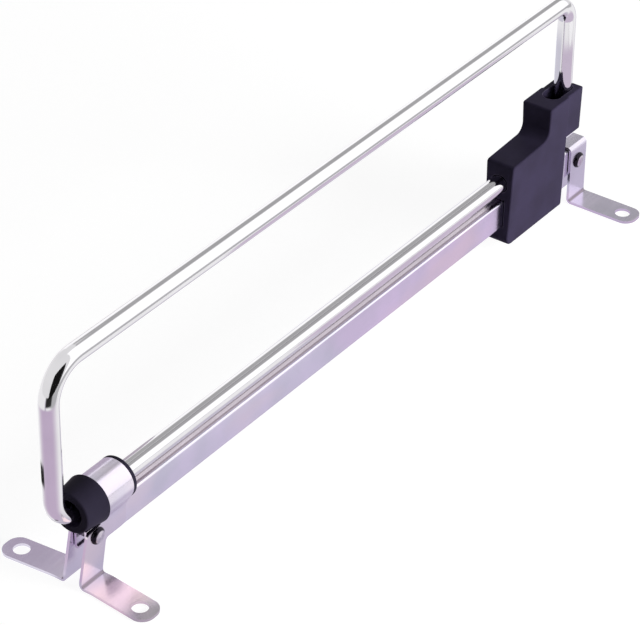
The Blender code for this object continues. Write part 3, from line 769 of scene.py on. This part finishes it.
for (y, z), radius in side_corners.values():
    if radius:
        round_edges(block, [across_edge(block, y, z)], radius, 10)
lean_sides(block)
round_edges(block, sharp_edges(block), RIM_R, 5)
print("carriage body:", len(block.faces), "faces")

# %% Join the narrower column that holds the rear leg
COLUMN_INSET, COLUMN_OVERLAP = 0.6 * MM, 1.6 * MM
COLUMN_HEIGHT = 21.3 * MM
column_half = body_half - COLUMN_INSET
column_under = carriage_high.z - COLUMN_HEIGHT
start_y = body_rear - COLUMN_OVERLAP
column_corners = [(start_y, column_under), (carriage_high.y, column_under)]
column_corners += [(carriage_high.y, carriage_high.z), (start_y, carriage_high.z)]
column = pressed([(-column_half, y, z) for y, z in column_corners], Vector((2 * column_half, 0, 0)))
lean_sides(column)
round_edges(column, sharp_edges(column), RIM_R, 5)
block = carved(block, column, "UNION")
print("carriage with its column:", len(block.faces), "faces")

# %% Cut the tunnel for the channel and the bore for the lower run
TOOL_LEAD, TUNNEL_LENGTH = 10 * MM, 80 * MM
HEAD_SEAT, HEAD_ROOM_R = 3.3 * MM, 3.6 * MM
SCREW_HOLE = 12 * MM
before = carriage_low.y - TOOL_LEAD
tunnel = bar_tool(half + CLEAR, before, TUNNEL_LENGTH, channel_low.z - CLEAR, flat_z)
block = carved(block, tunnel)
bore = Vector((0, LOW_RUN_END_Y + CLEAR - before, 0))
block = carved(block, drill(Vector((0, before, LOW_RUN_Z)), bore, BORE_R, 72))
seat = Vector((0, body_rear - HEAD_SEAT, LOW_RUN_Z))
block = carved(block, drill(seat, Vector((0, HEAD_SEAT + CLEAR, 0)), HEAD_ROOM_R))
run_end = Vector((0, LOW_RUN_END_Y, LOW_RUN_Z))
block = carved(block, drill(run_end, Vector((0, SCREW_HOLE, 0)), TAP_R))
print("carriage with its tunnel and bore:", len(block.faces), "faces")

# %% Cut the slot for the rear leg and the hole for its screw
SLOT_LENGTH, SLOT_HEIGHT = 8.4 * MM, 60 * MM
HOLE_LEAD = 4 * MM
slot = bmesh.new()
slot_floor = Matrix.Translation((0, REAR_LEG_Y, REAR_LEG_END_Z - CLEAR))
bmesh.ops.create_circle(slot, cap_ends=True, radius=BORE_R, segments=72, matrix=slot_floor)
front_half = [v for v in slot.verts if v.co.y < REAR_LEG_Y + CLOSE]
bmesh.ops.translate(slot, vec=(0, -SLOT_LENGTH, 0), verts=front_half)
block = carved(block, raised(slot, Vector((0, 0, SLOT_HEIGHT))))
below = Vector((0, REAR_LEG_Y, column_under - HOLE_LEAD))
block = carved(block, drill(below, Vector((0, 0, SCREW_HOLE)), TAP_R))
finish_piece(block, black, "carriage_block", edge=0.15 * MM)

# %% [markdown]
# ## Rivets
# A rivet has a low dome outside the leg, a shank through the leg and the channel's wall, and a
# flattened tail inside. It is round, so one profile is spun for all four. The dome is a quarter circle
# pressed flat, so its rim stands steep and mirrors the black nose, and it sits down on its leg as a set
# rivet does.

# %% Spin the rivets
LEG_SHEET = 1.2 * MM
SHANK_R, TAIL_R, TAIL_HEIGHT = 2 * MM, 2.6 * MM, 0.8 * MM
LEG_OUTER_X = half + CLEAR + LEG_SHEET
tail = inside - CLEAR
for node in ("front_rivet_right", "front_rivet_left", "rear_rivet_right", "rear_rivet_left"):
    low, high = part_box(node)
    side = 1 if low.x > 0 else -1
    centre = Vector((0, (low.y + high.y) / 2, (low.z + high.z) / 2))
    head_r = (high.z - low.z) / 2
    top = max(high.x, -low.x)
    flatten = (top - LEG_OUTER_X) / head_r
    profile = [(r, LEG_OUTER_X + flatten * h) for r, h in arc((0, 0), head_r, 90, 0, 20)]
    profile += [(SHANK_R, LEG_OUTER_X), (SHANK_R, tail), (TAIL_R, tail)]
    profile += [(TAIL_R, tail - TAIL_HEIGHT), (0, tail - TAIL_HEIGHT)]
    rivet = turned(profile, centre, Vector((side, 0, 0)), Vector((0, 0, 1)), 64)
    finish_piece(rivet, rivet_steel[node.split("_")[0]], node, edge=0.12 * MM)

# %% [markdown]
# ## Screws
# Two short screws hold the loop's ends in the carriage, one from behind and one from below. Each is a
# pan head on a plain shank. A six-sided socket is cut in the head, so that it looks right when the rail
# is seen from the back.

# %% Spin the screws and cut their sockets
HEAD_ROUND, HEAD_HEIGHT = 0.8 * MM, 2.4 * MM
SCREW_R, TIP_R, TIP_LENGTH = 1.75 * MM, 1.2 * MM, 0.6 * MM
SOCKET_R, SOCKET_DEPTH = 1.45 * MM, 1.3 * MM
for node, along in (("lower_run_screw", Vector((0, -1, 0))), ("rear_leg_screw", Vector((0, 0, 1)))):
    low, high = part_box(node)
    reach = abs((high - low).dot(along))
    head_face = (low + high) / 2 - along * reach / 2
    head_r = (high.x - low.x) / 2
    profile = [(0, 0)] + arc((head_r - HEAD_ROUND, HEAD_ROUND), HEAD_ROUND, -90, 0)
    profile += [(head_r, HEAD_HEIGHT), (SCREW_R, HEAD_HEIGHT), (SCREW_R, reach - TIP_LENGTH)]
    profile += [(TIP_R, reach), (0, reach)]
    screw = turned(profile, head_face, along, Vector((1, 0, 0)), 64)
    screw = carved(screw, drill(head_face - along * MM, along * (MM + SOCKET_DEPTH), SOCKET_R, 6))
    finish_piece(screw, screw_steel, node, edge=0.08 * MM)

# %% [markdown]
# ## Camera
# The camera stands where the photograph was taken: in front, to the right and above, far away with a
# long lens. Its place could be found by eye, but it was worked out from points on the rail whose sizes
# are known. The lens is given in pixels of the picture, and a small shift keeps the picture's own
# framing.

# %% Camera at the photograph's viewing angle
PHOTO_WIDTH = 640
PHOTO_HEIGHT = 625
FOCAL_PIXELS = 3120.5
CENTRE_X_PIXEL = 297.9
CENTRE_Y_PIXEL = 326.4
AZIMUTH = math.radians(36.21)
ELEVATION = math.radians(34.44)
ROLL = math.radians(0.33)
DISTANCE = 1238.8 * MM
TARGET = Vector((0, FRONT_LEG_Y + 150 * MM, 40 * MM))
flat_way = math.cos(ELEVATION)
back = Vector((math.sin(AZIMUTH) * flat_way, -math.cos(AZIMUTH) * flat_way, math.sin(ELEVATION)))
level = Vector((math.cos(AZIMUTH), math.sin(AZIMUTH), 0))
upright = back.cross(level)
right = level * math.cos(ROLL) + upright * math.sin(ROLL)
up = upright * math.cos(ROLL) - level * math.sin(ROLL)
print(f"camera {DISTANCE:.2f} m away, looking along", [round(-d, 3) for d in back])

# %% Set up the camera
camera_data = bpy.data.cameras.new("photo camera")
camera = bpy.data.objects.new("photo camera", camera_data)
bpy.context.scene.collection.objects.link(camera)
facing = Matrix((right, up, back)).transposed().to_4x4()
camera.matrix_world = Matrix.Translation(TARGET + back * DISTANCE) @ facing
camera_data.sensor_width = 36
camera_data.lens = FOCAL_PIXELS / PHOTO_WIDTH * camera_data.sensor_width
camera_data.shift_x = (PHOTO_WIDTH / 2 - CENTRE_X_PIXEL) / PHOTO_WIDTH
camera_data.shift_y = (CENTRE_Y_PIXEL - PHOTO_HEIGHT / 2) / PHOTO_WIDTH
camera_data.clip_start = 0.01
bpy.context.scene.camera = camera
print(f"lens {camera_data.lens:.1f} mm, shift {camera_data.shift_x:.4f}, {camera_data.shift_y:.4f}")


# %% [markdown]
# ## Studio
# The photograph was taken on white in soft light. The world is white to the camera and to mirrors, but
# gives only a little soft light, so that the black plastic stays black. Chrome mirrors the whole
# studio, so the floor and a few plain cards give it the white, grey and dark lines that make a rod look
# round.


# %% Tell camera rays and mirrored rays from the rest
MIRRORED = ("Is Glossy Ray", "Is Transmission Ray")


def rays_of(tree_nodes, links, *kinds):
    """One where a ray is of one of these kinds, and zero for the others."""
    path = tree_nodes.new("ShaderNodeLightPath")
    total = path.outputs[kinds[0]]
    for kind in kinds[1:]:
        add = tree_nodes.new("ShaderNodeMath")
        add.operation = "MAXIMUM"
        links.new(total, add.inputs[0])
        links.new(path.outputs[kind], add.inputs[1])
        total = add.outputs[0]
    return total


# %% White surroundings for the camera and for mirrors
FILL = 0.015
world = bpy.data.worlds.new("white studio")
world.use_nodes = True
bpy.context.scene.world = world
world_nodes = world.node_tree.nodes
world_links = world.node_tree.links
white = world_nodes["Background"]
white.inputs["Color"].default_value = (1, 1, 1, 1)
strength = world_nodes.new("ShaderNodeMapRange")
strength.inputs["To Min"].default_value = FILL
strength.inputs["To Max"].default_value = 1.0
world_links.new(rays_of(world_nodes, world_links, "Is Camera Ray", *MIRRORED), strength.inputs["Value"])
world_links.new(strength.outputs["Result"], white.inputs["Strength"])
print("soft fill", FILL)

# %% [markdown]
# The floor is plain and pale. The camera sees it white, with a faint shadow of the rail. In the chrome
# it is lilac close to the rail, where the rail shades it, white a little further out on either side,
# and dimmer far out on the right. That dim part is the thin grey line along the lower half of each rod.
# The distance from the rail drives a colour ramp for it. An upright leg mirrors the floor in front of
# it, so fans of deeper lilac spread out from both legs, and a bluish one to the left of the rear leg. A
# short dark one on the left gives the front leg its dark mark, and a long dark one carries the dark
# streak of the front bend down to the leg.

# %% Distance from the rail, over the floor
FLOOR_REACH = 2.0
LEFT_QUICKER, LEFT_END = 4.0, 0.07


def floor_distance(tree_nodes, links):
    """Zero under the rail and one at the floor's reach on the right. The left stays in the white part."""

    def maths(operation, first, second):
        node = tree_nodes.new("ShaderNodeMath")
        node.operation = operation
        node.inputs[1].default_value = second if isinstance(second, float) else 0.0
        links.new(first, node.inputs[0])
        if not isinstance(second, float):
            links.new(second, node.inputs[1])
        return node.outputs[0]

    coords = tree_nodes.new("ShaderNodeTexCoord")
    split = tree_nodes.new("ShaderNodeSeparateXYZ")
    links.new(coords.outputs["Object"], split.inputs[0])
    to_left = maths("MINIMUM", maths("MULTIPLY", split.outputs["X"], -LEFT_QUICKER), LEFT_END)
    return maths("DIVIDE", maths("MAXIMUM", split.outputs["X"], to_left), FLOOR_REACH)


# %% Colours of the floor
NEAR_FLOOR = (0.62, 0.585, 0.68)
BRIGHT_FLOOR = (1.0, 1.0, 1.0)
FAR_FLOOR = (0.50, 0.50, 0.51)
FRONT_LEG_FLOOR = (0.60, 0.48, 0.64)
REAR_LEG_FLOOR = (0.66, 0.565, 0.70)
BLUISH_FLOOR = (0.70, 0.69, 0.78)
DARK_FLOOR = (0.01, 0.01, 0.01)
# Colour, leg, spread in degrees (middle, full, end) and reaches in metres (full, end).
FANS = (
    (FRONT_LEG_FLOOR, FRONT_LEG_Y, (-74, 34, 130), ((0.14, 0.18),)),
    (REAR_LEG_FLOOR, REAR_LEG_Y, (-20, 62, 82), ((0.143, 0.160),)),
    (BLUISH_FLOOR, REAR_LEG_Y, (-170, 55, 70), ((0.145, 0.175),)),
    (DARK_FLOOR, FRONT_LEG_Y, (-186, 40, 52), ((0.085, 0.089), (0.075, 0.071))),
    (DARK_FLOOR, FRONT_LEG_Y, (-57, 20, 34), ((2.0, 3.0), (0.24, 0.18))),
)
# Distance from the rail in metres, and colour.
FLOOR_BANDS = (
    (0.026, NEAR_FLOOR),
    (0.044, BRIGHT_FLOOR),
    (0.135, BRIGHT_FLOOR),
    (0.17, FAR_FLOOR),
    (0.50, FAR_FLOOR),
    (1.20, BRIGHT_FLOOR),
)
print("floor:", len(FLOOR_BANDS), "bands and", len(FANS), "fans")


# %% Fans from the legs
def fan(tree_nodes, links, leg_y, spread, reaches):
    """A soft fan on the floor from a leg: its middle direction, where it is full, and where it ends."""
    middle, full, none = (math.radians(degrees) for degrees in spread)
    leg = (0, leg_y, 0)
    way = tree_nodes.new("ShaderNodeTexCoord").outputs["Object"]
    for operation, value in (("SUBTRACT", leg), ("NORMALIZE", None)):
        step = tree_nodes.new("ShaderNodeVectorMath")
        step.operation = operation
        if value:
            step.inputs[1].default_value = value
        links.new(way, step.inputs[0])
        way = step.outputs["Vector"]
    turn = tree_nodes.new("ShaderNodeVectorMath")
    turn.operation = "DOT_PRODUCT"
    turn.inputs[1].default_value = (math.cos(middle), math.sin(middle), 0)
    links.new(way, turn.inputs[0])
    amount = smooth_range(tree_nodes, links, turn.outputs["Value"], math.cos(full), math.cos(none))
    for full_reach, no_reach in reaches:
        both = tree_nodes.new("ShaderNodeMath")
        both.operation = "MULTIPLY"
        links.new(amount, both.inputs[0])
        links.new(nearness(tree_nodes, links, leg, full_reach, no_reach), both.inputs[1])
        amount = both.outputs[0]
    return amount


# %% Pale floor
# Rays, share of the glow in the surface, and its strength.
FLOOR_GLOWS = ((MIRRORED, 0.9, 1.25), (("Is Camera Ray",), 0.6, 1.53))
FLOOR_GREY, FLOOR_ROUGHNESS = 0.65, 0.9


def pale_floor():
    """Grey under the lamps, with one glow for mirrors and another for the camera."""
    material, tree_nodes, links, shader = new_finish("pale floor")
    shader.inputs["Base Color"].default_value = (FLOOR_GREY, FLOOR_GREY, FLOOR_GREY, 1)
    shader.inputs["Roughness"].default_value = FLOOR_ROUGHNESS
    bands = tree_nodes.new("ShaderNodeValToRGB")
    elements = bands.color_ramp.elements
    elements.remove(elements[1])
    elements[0].position = FLOOR_BANDS[0][0] / FLOOR_REACH
    for reach, _ in FLOOR_BANDS[1:]:
        elements.new(reach / FLOOR_REACH)
    for element, (_, colour) in zip(elements, FLOOR_BANDS):
        element.color = (*colour, 1)
    links.new(floor_distance(tree_nodes, links), bands.inputs["Fac"])
    tone = bands.outputs["Color"]
    for colour, leg_y, spread, reaches in FANS:
        amount = fan(tree_nodes, links, leg_y, spread, reaches)
        tone = patches(tree_nodes, links, amount, tone, colour)
    surface = shader.outputs["BSDF"]
    for kinds, share, glow in FLOOR_GLOWS:
        emission = tree_nodes.new("ShaderNodeEmission")
        emission.inputs["Strength"].default_value = glow
        if kinds == MIRRORED:
            links.new(tone, emission.inputs["Color"])
        part = tree_nodes.new("ShaderNodeMath")
        part.operation = "MULTIPLY"
        part.inputs[1].default_value = share
        links.new(rays_of(tree_nodes, links, *kinds), part.inputs[0])
        mix = tree_nodes.new("ShaderNodeMixShader")
        links.new(part.outputs[0], mix.inputs["Fac"])
        links.new(surface, mix.inputs[1])
        links.new(emission.outputs["Emission"], mix.inputs[2])
        surface = mix.outputs["Shader"]
    links.new(surface, tree_nodes["Material Output"].inputs["Surface"])
    return material


# %% Lay the floor
FLOOR_SIZE, FLOOR_GAP = 4, 0.2 * MM
bm = bmesh.new()
bmesh.ops.create_grid(bm, x_segments=1, y_segments=1, size=FLOOR_SIZE)
bmesh.ops.translate(bm, vec=(0, 0, cad_box[0].z - FLOOR_GAP), verts=bm.verts)
floor_mesh = bpy.data.meshes.new("floor")
bm.to_mesh(floor_mesh)
bm.free()
floor = bpy.data.objects.new("floor", floor_mesh)
floor_mesh.materials.append(pale_floor())
bpy.context.scene.collection.objects.link(floor)
print(f"floor {1000 * FLOOR_GAP:.1f} mm under the feet")

# %% [markdown]
# In a studio, white, grey and black cards stand round a chrome object. A long white card overhead gives
# the white band along each rod, a grey one on the left gives the line above it, and a white one fills
# in below that. A black one at the front gives the dark streak in the front bend, a lilac one is for
# the left foot, and a low white one on the right is for the lower run. They show only in reflections,
# and light nothing.


# %% Cards that only mirrors see
WHITE = (1, 1, 1)


def mirror_card(name, bm, brightness, tint=WHITE):
    mesh = bpy.data.meshes.new(name)
    bm.to_mesh(mesh)
    bm.free()
    material = bpy.data.materials.new(name)
    material.use_nodes = True
    tree_nodes, links = material.node_tree.nodes, material.node_tree.links
    glow = tree_nodes.new("ShaderNodeEmission")
    glow.inputs["Color"].default_value = (*tint, 1)
    glow.inputs["Strength"].default_value = brightness
    links.new(glow.outputs["Emission"], tree_nodes["Material Output"].inputs["Surface"])
    mesh.materials.append(material)
    card = bpy.data.objects.new(name, mesh)
    bpy.context.scene.collection.objects.link(card)
    card.visible_camera = False
    card.visible_diffuse = False
    card.visible_shadow = False
    print(name, "brightness", brightness)


# %% Long cards and standing cards
RAIL_MIDDLE_Z = (LOW_RUN_Z + TOP_RUN_Z) / 2
CARD_DISTANCE = 0.8


def long_card(name, angles, run, brightness):
    """A card along the rail, between two angles in degrees about it, from level on the right upwards."""
    bm = bmesh.new()
    ends = []
    for angle in map(math.radians, angles):
        height = RAIL_MIDDLE_Z + CARD_DISTANCE * math.sin(angle)
        ends.append(bm.verts.new((CARD_DISTANCE * math.cos(angle), run[0], height)))
    push(bm, [bm.edges.new(ends)], Vector((0, run[1] - run[0], 0)))
    mirror_card(name, bm, brightness)


def standing_card(name, place, facing, size, brightness, tint=WHITE):
    """A card that stands on the floor, turned by an angle in degrees, with a width and a height."""
    bm = bmesh.new()
    bmesh.ops.create_grid(bm, x_segments=1, y_segments=1, size=0.5)
    bmesh.ops.scale(bm, vec=(*size, 1), verts=bm.verts)
    upright = Matrix.Rotation(math.radians(90), 4, "X")
    turn = Matrix.Rotation(math.radians(facing - 90), 4, "Z") @ upright
    bmesh.ops.transform(bm, matrix=Matrix.Translation((*place, size[1] / 2)) @ turn, verts=bm.verts)
    mirror_card(name, bm, brightness, tint)


# %% Stand the cards round the rail
LILAC = (0.96, 0.86, 0.98)
dark_place = (0.72, FRONT_LEG_Y - 0.42)
long_card("overhead card", angles=(-1, 92), run=(-0.05, 1.8), brightness=1.5)
long_card("left grey card", angles=(98, 143), run=(0.40, 1.8), brightness=0.52)
long_card("left white card", angles=(146, 179), run=(0.2, 1.8), brightness=1.35)
standing_card(
    "left foot card", (-0.07, -0.10), facing=180, size=(0.075, 0.08), brightness=0.60, tint=LILAC
)
standing_card("dark card", dark_place, facing=-30, size=(1.05, 1.1), brightness=0.01)
standing_card("low white card", (0.15, 0.13), facing=0, size=(0.50, 0.021), brightness=1.25)


# %% [markdown]
# Two soft lamps light the plastic. The main one is low on the right, so that the carriage's right side
# is clearly lighter than its front, and a weak one overhead opens the top faces.


# %% Soft lamps
def lamp(name, place, size, watts):
    data = bpy.data.lights.new(name, "AREA")
    data.size = size
    data.energy = watts
    lamp_object = bpy.data.objects.new(name, data)
    lamp_object.location = place
    lamp_object.rotation_euler = Vector(place).to_track_quat("Z", "Y").to_euler()
    lamp_object.visible_glossy = False
    bpy.context.scene.collection.objects.link(lamp_object)
    print(name, watts, "W")


lamp("right key", place=(1.6, 0.35, 0.47), size=1.0, watts=34)
lamp("top fill", place=(0.2, 0.2, 2.0), size=1.2, watts=1)

# %% [markdown]
# ## Picture
# The picture uses Blender's Standard view so that a colour shows as it is written.

# %% Picture settings
bpy.context.scene.view_settings.view_transform = "Standard"
